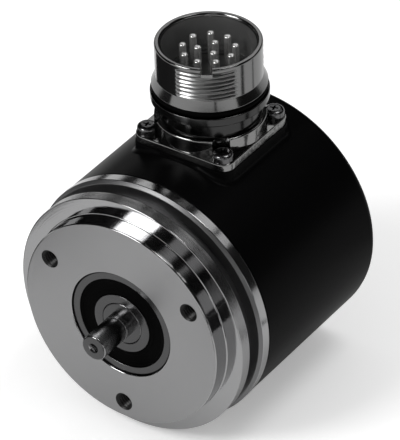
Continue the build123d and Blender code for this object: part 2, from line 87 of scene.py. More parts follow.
def lathe(bm, points, steps, upright=False):
    """Spins a half section about the shaft, or about the socket, and merges seam and poles."""
    place, axis = (on_socket, AXIS_SOCKET) if upright else (on_shaft, AXIS_SHAFT)
    old = set(bm.verts)
    half_section(bm, points, place)
    new = [v for v in bm.verts if v not in old]
    edges = list({e for v in new for e in v.link_edges})
    bmesh.ops.spin(
        bm, geom=new + edges, cent=place(0, 0), axis=axis, angle=math.tau, steps=steps,
        use_merge=True,
    )  # fmt: skip
    turned = [v for v in bm.verts if v not in old]
    bmesh.ops.remove_doubles(bm, verts=turned, dist=1e-7)
    flat = [f for f in bm.faces if f.calc_area() < 1e-14]
    bmesh.ops.delete(bm, geom=flat, context="FACES")
    return [v for v in bm.verts if v not in old]


print("lathe about", tuple(AXIS_SHAFT), "and about", tuple(AXIS_SOCKET))

# %% [markdown]
# A finished mesh has outward faces, smooth shading and sharp edges only where the surface really
# breaks. Smooth shading alone would bend the light over wide flat faces, so weighted normals keep
# them flat beside their narrow eased corners. Each piece is told which body it rides on and which
# imported solids it stands for.

# %% Turn a bmesh into a piece
def finished(name, bm, ride, replaced=(), sharp=34):
    """Object with outward normals that rides on a body and stands for CAD nodes."""
    bmesh.ops.remove_doubles(bm, verts=bm.verts, dist=1e-7)
    bmesh.ops.recalc_face_normals(bm, faces=bm.faces)
    for face in bm.faces:
        face.smooth = True
    for edge in bm.edges:
        edge.smooth = len(edge.link_faces) == 2 and edge.calc_face_angle(0) < math.radians(sharp)
    mesh = bpy.data.meshes.new(name)
    bm.to_mesh(mesh)
    bm.free()
    piece = bpy.data.objects.new(name, mesh)
    bpy.context.collection.objects.link(piece)
    normals = piece.modifiers.new("flat faces stay flat", "WEIGHTED_NORMAL")
    normals.keep_sharp = True
    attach(piece, ride)
    if replaced:
        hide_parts(*replaced)
    print(name, len(mesh.polygons), "faces")
    return piece


def turned_piece(name, points, ride, replaced=(), steps=192, upright=False):
    """One lathe piece on the shaft's axis, or on the socket's."""
    bm = bmesh.new()
    lathe(bm, points, steps, upright)
    return finished(name, bm, ride, replaced)


# %% [markdown]
# Holes are drilled with a Boolean: the drill is a mesh of its own that is used once and thrown
# away. Its result is applied at once, so that the normals that come later see the real hole.

# %% A drill
def drilled(bm, drill):
    """Cuts one bmesh out of another and returns the cut one."""
    made = []
    for name, source in (("blank", bm), ("drill", drill)):
        bmesh.ops.recalc_face_normals(source, faces=source.faces)
        mesh = bpy.data.meshes.new(name)
        source.to_mesh(mesh)
        source.free()
        made.append(bpy.data.objects.new(name, mesh))
        bpy.context.collection.objects.link(made[-1])
    cut = made[0].modifiers.new("cut", "BOOLEAN")
    cut.operation, cut.solver, cut.object = "DIFFERENCE", "EXACT", made[1]
    graph = bpy.context.evaluated_depsgraph_get()
    result = bmesh.new()
    result.from_object(made[0], graph)
    for helper in made:
        mesh = helper.data
        bpy.data.objects.remove(helper)
        bpy.data.meshes.remove(mesh)
    return result


# %% [markdown]
# The flange is one turning: the pilot that centres the encoder, the wide shoulder with its clamp
# groove and the band that the cover sits against. Three screw holes are drilled in from the front.
# A bump map could fake the holes, but one looks straight into them here, so they are cut, and their
# drill carries a few small steps that read as the turns of a thread.

# %% Flange
mount_radius, first_hole_angle = 21.0, 30


def three_spots(radius):
    """Places of the three holes on a circle about the shaft."""
    for i in range(3):
        angle = math.radians(first_hole_angle + 120 * i)
        yield Vector((math.cos(angle), 0, math.sin(angle))) * radius * mm


flange_section = [
    (13, 0, 0.25), (25, 0, 0.3), (25, 4, 0.35), (29, 4, 0.2), (29, 7, 0.2), (26.5, 7), (26.5, 10.4),
    (29, 10.4, 0.12), (29.7, 11.1, 0.12), (29.7, 13.4, 0.12), (27.5, 13.4), (27.5, 19.4, 0.3),
    (11, 19.4, 0.2), (11, 10), (9.4, 10), (9.4, 8.5), (13, 8.5),
]  # fmt: skip
blank = bmesh.new()
lathe(blank, flange_section, 240)
drill = bmesh.new()
thread_turns = [(1.66 + 0.32 * (i % 2), 0.4 + 0.35 * i) for i in range(20)]
hole_section = [(0, -1), (2.2, -1), (2.2, -0.02), (1.98, 0.25)]
hole_section += thread_turns + [(1.65, 8), (0, 8.6)]
for spot in three_spots(mount_radius):
    made = lathe(drill, hole_section, 40)
    bmesh.ops.translate(drill, verts=made, vec=spot)
flange = finished(
    "flange_turning", drilled(blank, drill), "housing", ["flange_body"]
)

# %% [markdown]
# The front bearing shows its outer ring, a rubber seal and its inner ring. The raceways and the
# balls behind the seal are made as well, because they are what the cage is there for. One function
# makes both rings of a bearing from its few catalogue sizes, so the rear one is one more call.

# %% Bearings
first_pocket = -90


def raceway(land, across, ball_radius, middle, side):
    """Points of the round groove that the balls run in, from the front to the back."""
    reach = math.sqrt(ball_radius**2 - (land - across) ** 2)
    points = []
    for i in range(9):
        along = -reach + 2 * reach * i / 8
        points.append((across + side * math.sqrt(ball_radius**2 - along**2), middle + along))
    return points


def bearing_rings(end, start, width, bore, inner_land, outer_land, outside, pitch, ball_radius):
    """Outer and inner ring of one bearing, with their raceways."""
    middle, stop = start + width / 2, start + width
    outer = [(outside, stop, 0.3), (outside, start, 0.35), (outer_land, start, 0.15)]
    outer += raceway(outer_land, pitch, ball_radius, middle, 1) + [(outer_land, stop, 0.15)]
    inner = [(bore, stop, 0.3), (bore, start, 0.35), (inner_land, start, 0.15)]
    inner += raceway(inner_land, pitch, ball_radius, middle, -1) + [(inner_land, stop, 0.15)]
    outer_node, inner_node = f"{end}_bearing_outer_ring", f"{end}_bearing_inner_ring"
    return (
        turned_piece(f"{end}_outer_race", outer, "housing", [outer_node]),
        turned_piece(f"{end}_inner_race", inner, "rotor", [inner_node]),
    )


def ball_set(end, count, pitch, ball_radius, middle):
    """The balls of one bearing, in its cage's pockets."""
    bm = bmesh.new()
    for i in range(count):
        angle = math.radians(first_pocket + i * 360 / count)
        centre = Vector((pitch * math.cos(angle), middle, pitch * math.sin(angle))) * mm
        bmesh.ops.create_uvsphere(
            bm, u_segments=24, v_segments=16, radius=ball_radius * mm,
            matrix=Matrix.Translation(centre),
        )  # fmt: skip
    return finished(f"{end}_balls", bm, f"{end}_cage")


front_rings = bearing_rings(
    "front", start=0.5, width=8, bore=5, inner_land=7.2, outer_land=11.1, outside=13, pitch=9,
    ball_radius=2.2,
)  # fmt: skip
rear_rings = bearing_rings(
    "rear", start=11, width=6, bore=5, inner_land=6.8, outer_land=9.2, outside=11, pitch=8,
    ball_radius=1.5,
)  # fmt: skip
balls = [
    ball_set("front", count=7, pitch=9, ball_radius=2.19, middle=4.5),
    ball_set("rear", count=9, pitch=8, ball_radius=1.49, middle=14),
]

# %% [markdown]
# The seal is a thin rubber ring that fills the gap between the two rings. Its face has a shallow
# channel, and both edges of the channel are eased, so that they catch a fine line of light.

# %% Front seal
seal_section = [
    (7.28, 0.75), (7.28, 1.45), (11.1, 1.45), (11.1, 0.75, 0.1), (10.5, 0.75, 0.1), (10.2, 0.95),
    (8.4, 0.95), (8.1, 0.8, 0.1), (7.6, 0.8),
]  # fmt: skip
front_seal = turned_piece(
    "front_seal", seal_section, "housing", ["front_bearing_seal"]
)

# %% [markdown]
# The shaft end is ground, with a small groove near its root where the grinding wheel stops and a
# centre hole from the lathe in its face. The hole is part of the half section: the line starts on
# the axis behind the end face and comes out to it, which leaves a hollow without any cutting.

# %% Shaft
shaft_section = [
    (0, -7), (0.8, -7.6), (0.8, -9.4), (1.2, -10), (3, -10, 0.4), (3, -2.3, 0.05), (2.75, -2.15),
    (2.75, -1.85), (3.05, -1.7, 0.05), (3.05, 0.5), (5, 0.5, 0.25), (5, 17), (4, 17), (4, 24.9),
    (2, 24.9), (2, 32.55), (0.8, 32.55), (0.8, 34.15), (0, 34.15),
]  # fmt: skip
shaft = turned_piece("ground_shaft", shaft_section, "rotor", ["shaft"], steps=128)

# %% [markdown]
# The cover is a can with a rounded rear edge. It starts as a turned shell. The socket's opening and
# the three countersinks in the back are drilled, as they are in the real one. A plain cylinder with
# a Bevel modifier would give the outside too, but the shell has to be hollow for what is in it.

# %% Cover
cover_radius, cover_end, cover_floor = 29.6, 56.6, 54.1
throat_radius, pillar_radius = 8.7, 21.7
can_section = [
    (27.6, 13.7, 0.1), (cover_radius, 13.7, 0.2), (cover_radius, cover_end, 2.2), (0, cover_end),
    (0, cover_floor), (27.6, cover_floor, 0.6),
]  # fmt: skip
blank = bmesh.new()
lathe(blank, can_section, 240)
drill = bmesh.new()
sink = [(0, 53), (1.35, 53), (1.35, 55.5), (2.45, cover_end), (2.45, 58), (0, 58)]
for spot in three_spots(pillar_radius):
    made = lathe(drill, sink, 48)
    bmesh.ops.translate(drill, verts=made, vec=spot)
mouth = [(0, 20), (throat_radius, 20), (throat_radius, 33), (0, 33)]
lathe(drill, mouth, 64, upright=True)
cover = finished("cover_can", drilled(blank, drill), "housing", ["housing_cover"])

# %% [markdown]
# The pad under the socket is a square boss that grows out of the round can with a small fillet. It
# is a stack of loops: the round throat, the rounded square on top, and loops that flare out onto
# the can. Bridging them gives clean quads where a Boolean would leave slivers along the foot.

# %% Loops round the socket's axis
loop_points = 160


def square_point(side, corner, turn):
    """Point of a rounded square's outline, met by a ray at an angle about its middle."""
    straight = side / 2 - corner
    direction = Vector((math.cos(turn), math.sin(turn)))
    x, y = abs(direction.x), abs(direction.y)
    reach = side / 2 / max(x, y)
    if min(x, y) * reach > straight:
        along = (x + y) * straight
        reach = along + math.sqrt(along**2 - 2 * straight**2 + corner**2)
    return direction * reach


def loop_of(bm, outline, height):
    """Closed loop of edges at the heights that a function gives, in millimetres."""
    verts = []
    for i in range(loop_points):
        flat = outline(math.tau * i / loop_points)
        at = Vector((flat.x, flat.y + socket_y, 0))
        at.z = height(at)
        verts.append(bm.verts.new(at * mm))
    ends = verts[1:] + verts[:1]
    return [bm.edges.new(pair) for pair in zip(verts, ends)]


def stacked(loops_of_edges, bm):
    """Bridges each loop to the next, and the last back to the first."""
    for i, loop in enumerate(loops_of_edges):
        bmesh.ops.bridge_loops(bm, edges=loop + loops_of_edges[(i + 1) % len(loops_of_edges)])


def circle_of(radius):
    return lambda turn: Vector((math.cos(turn), math.sin(turn))) * radius


def square_of(side, corner):
    return lambda turn: square_point(side, corner, turn)


def level(height):
    return lambda at: height


def on_can(lift):
    return lambda at: math.sqrt(cover_radius**2 - at.x**2) + lift


# %% [markdown]
# The first loops run over the top and round its soft edge. Six more follow a quarter circle
# outwards, and that is the fillet where the pad meets the can. The last two close it underneath,
# inside the can's wall.

# %% Pad
pad_top, pad_side, pad_corner, foot_fillet = 30.0, 25.6, 3.2, 1.0
pad_root = on_can(-1.2)
bm = bmesh.new()
loops = [
    loop_of(bm, circle_of(throat_radius), level(pad_top)),
    loop_of(bm, square_of(pad_side - 0.5, pad_corner - 0.25), level(pad_top)),
    loop_of(bm, square_of(pad_side - 0.15, pad_corner - 0.08), level(pad_top - 0.08)),
    loop_of(bm, square_of(pad_side, pad_corner), level(pad_top - 0.25)),
]
for i in range(6):
    bend = math.radians(90 * i / 5)
    wide = pad_side + 2 * foot_fillet * (1 - math.cos(bend))
    corner = pad_corner + foot_fillet * (1 - math.cos(bend))
    lift = on_can(foot_fillet * (1 - math.sin(bend)) - 0.02)
    low = lambda at, lift=lift: min(lift(at), pad_top - 0.3)
    loops.append(loop_of(bm, square_of(wide, corner), low))
loops.append(loop_of(bm, square_of(pad_side, pad_corner), pad_root))
loops.append(loop_of(bm, circle_of(throat_radius), pad_root))
stacked(loops, bm)
pad = finished("cover_pad", bm, "housing", ["housing_cover"])

# %% [markdown]
# A thin ring seals the cover to the flange. Three countersunk screws with a cross recess hold the
# cover from behind. The recess is cut with a plus-shaped drill that narrows to its tip. Each screw
# stops at another angle, because no fitter leaves them all alike.

# %% Cover seal and screws
seal = [(27.55, 13.42), (29.3, 13.42, 0.08), (29.3, 13.68, 0.08), (27.55, 13.68)]
cover_seal = turned_piece(
    "cover_ring_seal", seal, "housing", ["cover_seal"], steps=240
)


def cross_drill(bm, spin_to, at, depth, reach):
    """A plus-shaped drill that narrows to its tip, as a cross recess does."""
    half = reach * 0.18
    rings = []
    for height, long in ((depth, reach), (-depth, reach * 0.4)):
        corners = [(long, -half), (long, half), (half, half)]
        quarters = [Matrix.Rotation(math.radians(90 * i), 2) for i in range(4)]
        spun = [quarter @ Vector(c) for quarter in quarters for c in corners]
        rings.append([bm.verts.new(Vector((c.x, c.y, height)) * mm) for c in spun])
    for i in range(12):
        j = (i + 1) % 12
        bm.faces.new((rings[0][i], rings[0][j], rings[1][j], rings[1][i]))
    for ring in rings:
        bm.faces.new(ring)
    made = [v for ring in rings for v in ring]
    bmesh.ops.transform(bm, matrix=Matrix.Translation(at) @ spin_to, verts=made)
    bmesh.ops.recalc_face_normals(bm, faces=list({f for v in made for f in v.link_faces}))


screw_top = 56.5
screw_section = [
    (0, 50.6), (1.25, 50.6, 0.2), (1.25, 55.4), (2.35, screw_top, 0.1), (0, screw_top),
]  # fmt: skip
backwards = Matrix.Rotation(math.radians(-90), 4, "X")
bm, drill = bmesh.new(), bmesh.new()
for i, spot in enumerate(three_spots(pillar_radius)):
    made = lathe(bm, screw_section, 48)
    bmesh.ops.translate(bm, verts=made, vec=spot)
    twist = backwards @ Matrix.Rotation(math.radians(25 * i), 4, "Z")
    cross_drill(drill, twist, spot + on_shaft(0, screw_top), 1.0, 1.25)
cover_screws = finished(
    "back_screws", drilled(bm, drill), "housing", ["cover_screws"]
)

# %% [markdown]
# The socket shell is three forms on one axis: a square flange plate, a cast collar that is notched
# for the screw heads, and the turned barrel with its lip, seal seat and thread. The plate is a
# stack of rounded squares. It could be a bevelled cube, but the stack gives its top edge a soft
# crown and joins cleanly to the round hole.

# %% Socket plate
plate_low, plate_high, plate_side, plate_corner = 30.0, 31.8, 25.2, 3.0
screw_pitch = 19.8
screw_spots = [Vector((sx, sy, 0)) * screw_pitch / 2 * mm for sx in (-1, 1) for sy in (-1, 1)]
bm = bmesh.new()
stacked(
    [
        loop_of(bm, circle_of(throat_radius), level(plate_low)),
        loop_of(bm, square_of(plate_side - 0.3, plate_corner), level(plate_low)),
        loop_of(bm, square_of(plate_side, plate_corner), level(plate_low + 0.15)),
        loop_of(bm, square_of(plate_side, plate_corner), level(plate_high - 0.3)),
        loop_of(bm, square_of(plate_side - 0.18, plate_corner), level(plate_high - 0.09)),
        loop_of(bm, square_of(plate_side - 0.6, plate_corner), level(plate_high)),
        loop_of(bm, circle_of(throat_radius), level(plate_high)),
    ],
    bm,
)
drill = bmesh.new()
clearance = [(0, 29), (1.35, 29), (1.35, 33), (0, 33)]
for spot in screw_spots:
    made = lathe(drill, clearance, 32, upright=True)
    bmesh.ops.translate(drill, verts=made, vec=spot)
plate = finished(
    "socket_plate", drilled(bm, drill), "housing", ["connector_flange"]
)

# %% [markdown]
# The collar starts as a plain turned ring. Four round notches give the screw heads their room, so
# that only four arms of the ring are left, which is how the casting looks from above.

# %% Socket collar
collar_section = [
    (throat_radius, 31.78), (12.3, 31.78), (12.3, 35.2, 0.3), (11.2, 35.5, 0.3),
    (throat_radius, 35.5),
]  # fmt: skip
bm, drill = bmesh.new(), bmesh.new()
lathe(bm, collar_section, 160, upright=True)
notch = [(0, 31), (2.7, 31), (2.7, 37), (0, 37)]
for spot in screw_spots:
    made = lathe(drill, notch, 64, upright=True)
    bmesh.ops.translate(drill, verts=made, vec=spot)
collar = finished(
    "socket_collar", drilled(bm, drill), "housing", ["connector_flange"]
)

# %% [markdown]
# The barrel's thread is a real helix. The outer wall is spun with many short steps up its height,
# and each point is then moved in by how far it is from the thread's crest at its own angle. The
# thread fades out at both ends, as a cut thread does, and is interrupted: three threaded sectors
# with smooth wall between them, one of them under the keyway. A Screw modifier could wind a thread
# profile, but it can't fade out or stop at a sector without leaving an open end.

# %% Socket barrel with its thread
barrel_radius, bore_radius, z_barrel, z_rim = 11.75, 10.3, 45.1, 53.2
neck_radius, bore_floor = 11.2, 42.5
thread_pitch, thread_depth, thread_start, thread_stop = 1.0, 0.4, 45.2, 52.4
thread_sector, sector_fade, end_fade = 34.0, 5.0, 0.7
slot_turn, slot_wide, slot_deep = -58.0, 2.6, 2.2
wall = [(barrel_radius, z_barrel + (z_rim - z_barrel - 0.3) * i / 60) for i in range(61)]
barrel_section = [
    (throat_radius, 35.4), (neck_radius, 35.4), (neck_radius, 39.3), (13, 39.3, 0.35),
    (13, 41.4, 0.25), (neck_radius, 41.4), (neck_radius, 43), (12.75, 43, 0.2),
]  # fmt: skip
barrel_section += wall + [
    (barrel_radius - 0.2, z_rim, 0.1), (bore_radius + 0.5, z_rim, 0.1), (bore_radius, z_rim - 0.6),
    (bore_radius, bore_floor), (throat_radius, bore_floor),
]  # fmt: skip
bm = bmesh.new()
lathe(bm, barrel_section, 192, upright=True)
print("barrel blank", len(bm.verts), "points")

# %% [markdown]
# The cut of the thread is a plain function of angle and height, in millimetres. The keyway is a
# square slot that is sawn into the wall from the rim, over the middle of one threaded sector.

# %% Cut the thread and the keyway
def thread_depth_at(turn, z):
    """How far the thread is cut in, at an angle about the socket and a height."""
    turns = z / thread_pitch - turn / math.tau
    groove = abs((turns % 1.0) - 0.5) * 2
    off_sector = abs((math.degrees(turn) - slot_turn + 60) % 120 - 60)
    run_in, run_out = (z - thread_start) / end_fade, (thread_stop - z) / end_fade
    fade = min(1.0, run_in, run_out, (thread_sector - off_sector) / sector_fade)
    return thread_depth * max(0, fade) * min(1.0, 1.25 * groove)


for v in bm.verts:
    x, y, z = v.co.x / mm, v.co.y / mm - socket_y, v.co.z / mm
    radius = math.hypot(x, y)
    if abs(radius - barrel_radius) < 0.01 and thread_start < z < thread_stop:
        shrink = 1 - thread_depth_at(math.atan2(y, x), z) / radius
        v.co.x, v.co.y = x * shrink * mm, (y * shrink + socket_y) * mm
drill = bmesh.new()
made = bmesh.ops.create_cube(drill, size=1)["verts"]
bmesh.ops.scale(drill, vec=Vector((5, slot_wide, 2 * slot_deep)) * mm, verts=made)
place = Matrix.Translation(on_socket(0, z_rim)) @ Matrix.Rotation(math.radians(slot_turn), 4, "Z")
in_wall = Matrix.Translation(Vector((neck_radius, 0, 0)) * mm)
bmesh.ops.transform(drill, matrix=place @ in_wall, verts=made)
barrel = finished(
    "socket_barrel", drilled(bm, drill), "housing", ["connector_barrel"], 50
)

# %% [markdown]
# A round sealing ring sits between the lip and the cone. Its section is a circle, slightly squashed
# by its seat. A torus primitive would be quicker, but its section is always a true circle.

# %% Socket sealing ring
ring_radius, ring_level, ring_half_width, ring_half_height = 11.95, 42.2, 0.75, 0.79
ring_section = []
for i in range(20):
    turn = math.tau * i / 20
    out, rise = ring_half_width * math.cos(turn), ring_half_height * math.sin(turn)
    ring_section.append((ring_radius + out, ring_level + rise))
socket_seal = turned_piece(
    "socket_ring_seal", ring_section, "housing", ["connector_seal"], upright=True
)

# %% [markdown]
# The insert carries twelve round pins, nine in the outer ring and three inside it. Their tips are
# rounded, which is where the light catches in the dark bore. All twelve are one mesh, because they
# are alike and never move apart. The shallow round groove in the insert is part of its section.

# %% Insert and pins
insert_section = [
    (0, 25.5), (8.6, 25.5, 0.3), (8.6, 42.5), (10.2, 42.5), (10.2, 44, 0.2), (9.4, 44, 0.1),
    (9.3, 43.6), (7.9, 43.6), (7.8, 44, 0.1), (0, 44),
]  # fmt: skip
insert = turned_piece(
    "pin_insert", insert_section, "housing", ["connector_insert"], 128, True
)
pin_section = [(0, 43.9), (0.8, 43.9), (0.8, 51.6, 0.35), (0, 51.6)]
bm = bmesh.new()
pin_spots = [(5.8, i * 40) for i in range(9)] + [(2.4, 90 + i * 120) for i in range(3)]
for radius, angle in pin_spots:
    made = lathe(bm, pin_section, 24, upright=True)
    at = Vector((math.cos(math.radians(angle)), math.sin(math.radians(angle)), 0)) * radius * mm
    bmesh.ops.translate(bm, verts=made, vec=at)
pins = finished("socket_pins", bm, "housing", ["connector_contacts"])

# %% [markdown]
# Four small screws hold the socket. Their round heads stand in the collar's notches. The crosses
# are cut with the same drill as those of the back screws.

# %% Socket screws
head_low, head_high = 31.8, 33.7
head_section = [
    (0, 26), (1.25, 26, 0.2), (1.25, head_low), (2.25, head_low), (2.25, head_high - 0.5, 0.3),
    (1.7, head_high, 0.4), (0, head_high),
]  # fmt: skip
bm, drill = bmesh.new(), bmesh.new()
for i, spot in enumerate(screw_spots):
    made = lathe(bm, head_section, 48, upright=True)
    bmesh.ops.translate(bm, verts=made, vec=spot)
    twist = Matrix.Rotation(math.radians(12 + 31 * i), 4, "Z")
    cross_drill(drill, twist, on_socket(0, head_high) + spot, 1.1, 1.35)
socket_screws = finished(
    "socket_screw_heads", drilled(bm, drill), "housing", ["connector_screws"]
)

# %% [markdown]
# Finishes are node materials on Object coordinates, so that a pattern stays on its piece. One
# helper starts a material, and a few small ones add what real surfaces have: turning marks, grain
# and wear.

# %% Material helpers
def shader(name, colour, metallic, roughness, **more):
    """New material with its main shader's plain values set."""
    material = bpy.data.materials.new(name)
    material.use_nodes = True
    main = material.node_tree.nodes["Principled BSDF"]
    main.inputs["Base Color"].default_value = (*colour, 1)
    main.inputs["Metallic"].default_value = metallic
    main.inputs["Roughness"].default_value = roughness
    for socket, value in more.items():
        main.inputs[socket.replace("_", " ")].default_value = value
    return material


def node(material, kind, **values):
    """New node whose sockets or settings get plain values."""
    made = material.node_tree.nodes.new(kind)
    for key, value in values.items():
        if key in made.inputs:
            made.inputs[key].default_value = value
        else:
            setattr(made, key, value)
    return made


def join(material, source, target):
    material.node_tree.links.new(source, target)


def main_shader(material):
    return material.node_tree.nodes["Principled BSDF"]


def spread(material, value, low, high):
    """Map Range from 0..1 to a low and a high value."""
    ranged = node(material, "ShaderNodeMapRange")
    ranged.inputs["To Min"].default_value = low
    ranged.inputs["To Max"].default_value = high
    join(material, value, ranged.inputs["Value"])
    return ranged.outputs["Result"]


def lathe_marks(material, per_metre, strength):
    """Fine grooves round the shaft: noise of the radius plus the place along the axis."""
    where = node(material, "ShaderNodeTexCoord").outputs["Object"]
    flat = node(material, "ShaderNodeVectorMath", operation="MULTIPLY")
    flat.inputs[1].default_value = Vector((1, 1, 1)) - AXIS_SHAFT
    join(material, where, flat.inputs[0])
    radius = node(material, "ShaderNodeVectorMath", operation="LENGTH")
    join(material, flat.outputs["Vector"], radius.inputs[0])
    height = node(material, "ShaderNodeVectorMath", operation="DOT_PRODUCT")
    height.inputs[1].default_value = AXIS_SHAFT
    join(material, where, height.inputs[0])
    total = node(material, "ShaderNodeMath", operation="ADD")
    join(material, radius.outputs["Value"], total.inputs[0])
    join(material, height.outputs["Value"], total.inputs[1])
    grooves = node(
        material, "ShaderNodeTexNoise", noise_dimensions="1D", Scale=per_metre, Detail=3.0
    )
    join(material, total.outputs["Value"], grooves.inputs["W"])
    bump = node(material, "ShaderNodeBump", Strength=strength, Distance=0.00005)
    join(material, grooves.outputs["Fac"], bump.inputs["Height"])
    join(material, bump.outputs["Normal"], main_shader(material).inputs["Normal"])


def grain(material, scale, strength, distance=0.00005):
    """Even surface grain, as on rubber, paint or cast metal."""
    where = node(material, "ShaderNodeTexCoord").outputs["Object"]
    noise = node(material, "ShaderNodeTexNoise", Scale=scale, Detail=4.0)
    join(material, where, noise.inputs["Vector"])
    bump = node(material, "ShaderNodeBump", Strength=strength, Distance=distance)
    join(material, noise.outputs["Fac"], bump.inputs["Height"])
    join(material, bump.outputs["Normal"], main_shader(material).inputs["Normal"])


def cloudy(material, scale, low, high):
    """Slow change of roughness over a piece, as handling leaves it."""
    where = node(material, "ShaderNodeTexCoord").outputs["Object"]
    noise = node(material, "ShaderNodeTexNoise", Scale=scale, Detail=5.0)
    join(material, where, noise.inputs["Vector"])
    roughness = spread(material, noise.outputs["Fac"], low, high)
    join(material, roughness, main_shader(material).inputs["Roughness"])


def dress(piece, *materials):
    """Gives a piece its materials, whatever slots it has."""
    piece.data.materials.clear()
    for material in materials:
        piece.data.materials.append(material)


# %% [markdown]
# The flange's face is turned dull, the steps beside it are turned bright, and the groove is left
# rough as the grooving tool leaves it, with a darker colour that is painted shade in the recess.
# All have round lathe marks, deepest on the face, where they spread the light into the soft fan
# that a turned face shows. One metal with a painted mask could do it, but each tool leaves its own
# zone with a hard border, so each zone has a material of its own. The near black metal in the
# tapped holes is painted shade inside them.

# %% Turned aluminium
face_metal = shader("turned aluminium face", (0.3, 0.3, 0.303), 1.0, 0.36)
lathe_marks(face_metal, 5200, 0.5)
cloudy(face_metal, 70, 0.3, 0.42)
edge_metal = shader("turned aluminium edge", (0.33, 0.33, 0.333), 1.0, 0.08)
lathe_marks(edge_metal, 3600, 0.08)
rim_metal = shader("turned aluminium rim", (0.26, 0.26, 0.263), 1.0, 0.25)
lathe_marks(rim_metal, 4200, 0.5)
band_metal = shader("turned aluminium band", (0.34, 0.34, 0.343), 1.0, 0.13)
lathe_marks(band_metal, 3600, 0.15)
# The groove's darker base colour is painted shade in the recess. Its roughness is the tool's finish.
groove_shade_metal = shader("turned aluminium groove with painted shade", (0.16, 0.16, 0.162), 1.0, 0.4)
lathe_marks(groove_shade_metal, 3000, 0.5)
# Nearly black metal is painted shade: inside the tapped holes and on the front ring's chamfer.
painted_shade_metal = shader("painted shade metal of holes and gaps", (0.025, 0.025, 0.025), 1.0, 0.4)
grain(painted_shade_metal, 2200, 0.3)
print("aluminium finishes:", face_metal.name, "to", band_metal.name)

# %% [markdown]
# A mesh can wear several materials, and each face has the number of its own. The flange's faces are
# sorted by where their middle lies: how far behind the pilot's face, and how far from the shaft.
# Clicking faces by hand would be lost as soon as the section changes.

# %% Zones of the flange
FACE, EDGE, RIM, GROOVE, HOLE, BAND = range(6)
hole_inside, hole_outside, hole_bottom = 18, 24, 8.7
rim_start, rim_stop, rim_inside = 4.3, 6.7, 28.9
groove_start, groove_stop, band_start = 7.05, 10.38, 11.05


def flange_zone(depth, radius, facing):
    """Zone that a face of the flange lies in, by its place and the way it faces."""
    if hole_inside < radius < hole_outside and 0.01 < depth < hole_bottom:
        return HOLE
    if facing.y < -0.9 and depth < 0.1:
        return FACE
    if groove_start < depth < groove_stop and radius < rim_inside:
        return GROOVE
    if groove_stop < depth < band_start:
        return GROOVE
    if depth > band_start:
        return BAND
    return RIM if rim_start < depth < rim_stop and radius > rim_inside else EDGE


def round_shaft(face):
    """Distance of a face's middle from the shaft's axis."""
    return math.hypot(face.center.x, face.center.z) / mm


dress(flange, face_metal, edge_metal, rim_metal, groove_shade_metal, painted_shade_metal, band_metal)
for face in flange.data.polygons:
    face.material_index = flange_zone(face.center.y / mm, round_shaft(face), face.normal)
zones = [face.material_index for face in flange.data.polygons]
print("faces in each zone of the flange:", [zones.count(zone) for zone in range(6)])

# %% [markdown]
# Ring steel, shaft steel and balls are ground, so they are smooth with very fine marks. The front
# ring's outermost chamfer lies in the shade of the bore and is nearly black. The shaft's end face
# wears the darker ring steel, a painted shade that makes it darker than its side. Rubber is dark
# and dull with a fine grain, and reflects far less than a plastic of the same colour would.

# %% Steel and rubber
ring_steel = shader("ground ring steel", (0.085, 0.085, 0.086), 1.0, 0.22)
lathe_marks(ring_steel, 4200, 0.25)
shaft_metal = shader("ground shaft steel", (0.32, 0.32, 0.323), 1.0, 0.16)
lathe_marks(shaft_metal, 5200, 0.2)
ball_metal = shader("ball steel", (0.7, 0.7, 0.71), 1.0, 0.06)
cloudy(ball_metal, 900, 0.04, 0.09)
rubber = shader("seal rubber", (0.0015, 0.0015, 0.0015), 0.0, 0.6, Specular_IOR_Level=0.012)
grain(rubber, 2500, 0.35)
for piece in front_rings + rear_rings:
    dress(piece, ring_steel, painted_shade_metal)
ring_chamfer = 12.62
for face in front_rings[0].data.polygons:
    face.material_index = 1 if round_shaft(face) > ring_chamfer else 0
for piece in balls:
    dress(piece, ball_metal)
dress(shaft, shaft_metal, ring_steel)
# The shaft's end face gets the darker steel as painted shade.
shaded_end_faces = [face for face in shaft.data.polygons if face.normal.y < -0.8]
for face in shaded_end_faces:
    face.material_index = 1
for piece in (front_seal, cover_seal, socket_seal):
    dress(piece, rubber)
print("darker faces on the shaft's end:", len(shaded_end_faces))

# %% [markdown]
# The cover has a smooth black coat with a slight orange peel, which is a grain with low strength.
# Its gloss wanders a little between two values, as a coat that has been handled does.

# %% Coat
black_coat = shader(
    "black cover coat", (0.0015, 0.0015, 0.0016), 0.0, 0.32, Specular_IOR_Level=0.025
)
grain(black_coat, 900, 0.12)
cloudy(black_coat, 45, 0.28, 0.4)
dress(cover, black_coat)
dress(pad, black_coat)
print("coat on", cover.name, "and", pad.name)

# %% [markdown]
# The socket is nickel plated: its barrel is turned, its plate and collar are cast and ripple a
# little. The plating is bright outside and duller on the thread and in the bore. On the lip and the
# neck below the sealing ring it is near black, which is painted shade and painted dark reflection
# under the ring. The ripple is a coarse grain with a larger bump distance.

# %% Plating
nickel = shader("turned nickel plate", (0.19, 0.19, 0.189), 1.0, 0.14)
grain(nickel, 1800, 0.05)
# Painted shade: the lip and the neck under the sealing ring are darkened in their colour.
neck_shade_nickel = shader("nickel of the neck with painted shade", (0.05, 0.05, 0.05), 1.0, 0.16)
grain(neck_shade_nickel, 1800, 0.05)
thread_nickel = shader("nickel of the thread", (0.24, 0.24, 0.239), 1.0, 0.28)
grain(thread_nickel, 1800, 0.1)
bore_nickel = shader("dull nickel of the bore", (0.36, 0.36, 0.358), 0.85, 0.24)
grain(bore_nickel, 300, 0.6, 0.0002)
cast_nickel = shader("cast nickel plate", (0.24, 0.24, 0.238), 1.0, 0.14)
grain(cast_nickel, 420, 0.5, 0.0002)
dress(plate, cast_nickel)
dress(collar, cast_nickel)
print("nickel on", plate.name, "and", collar.name)

# %% [markdown]
# The barrel is one mesh too, so its faces are sorted as the flange's were, by their distance from
# the socket's axis and their height.

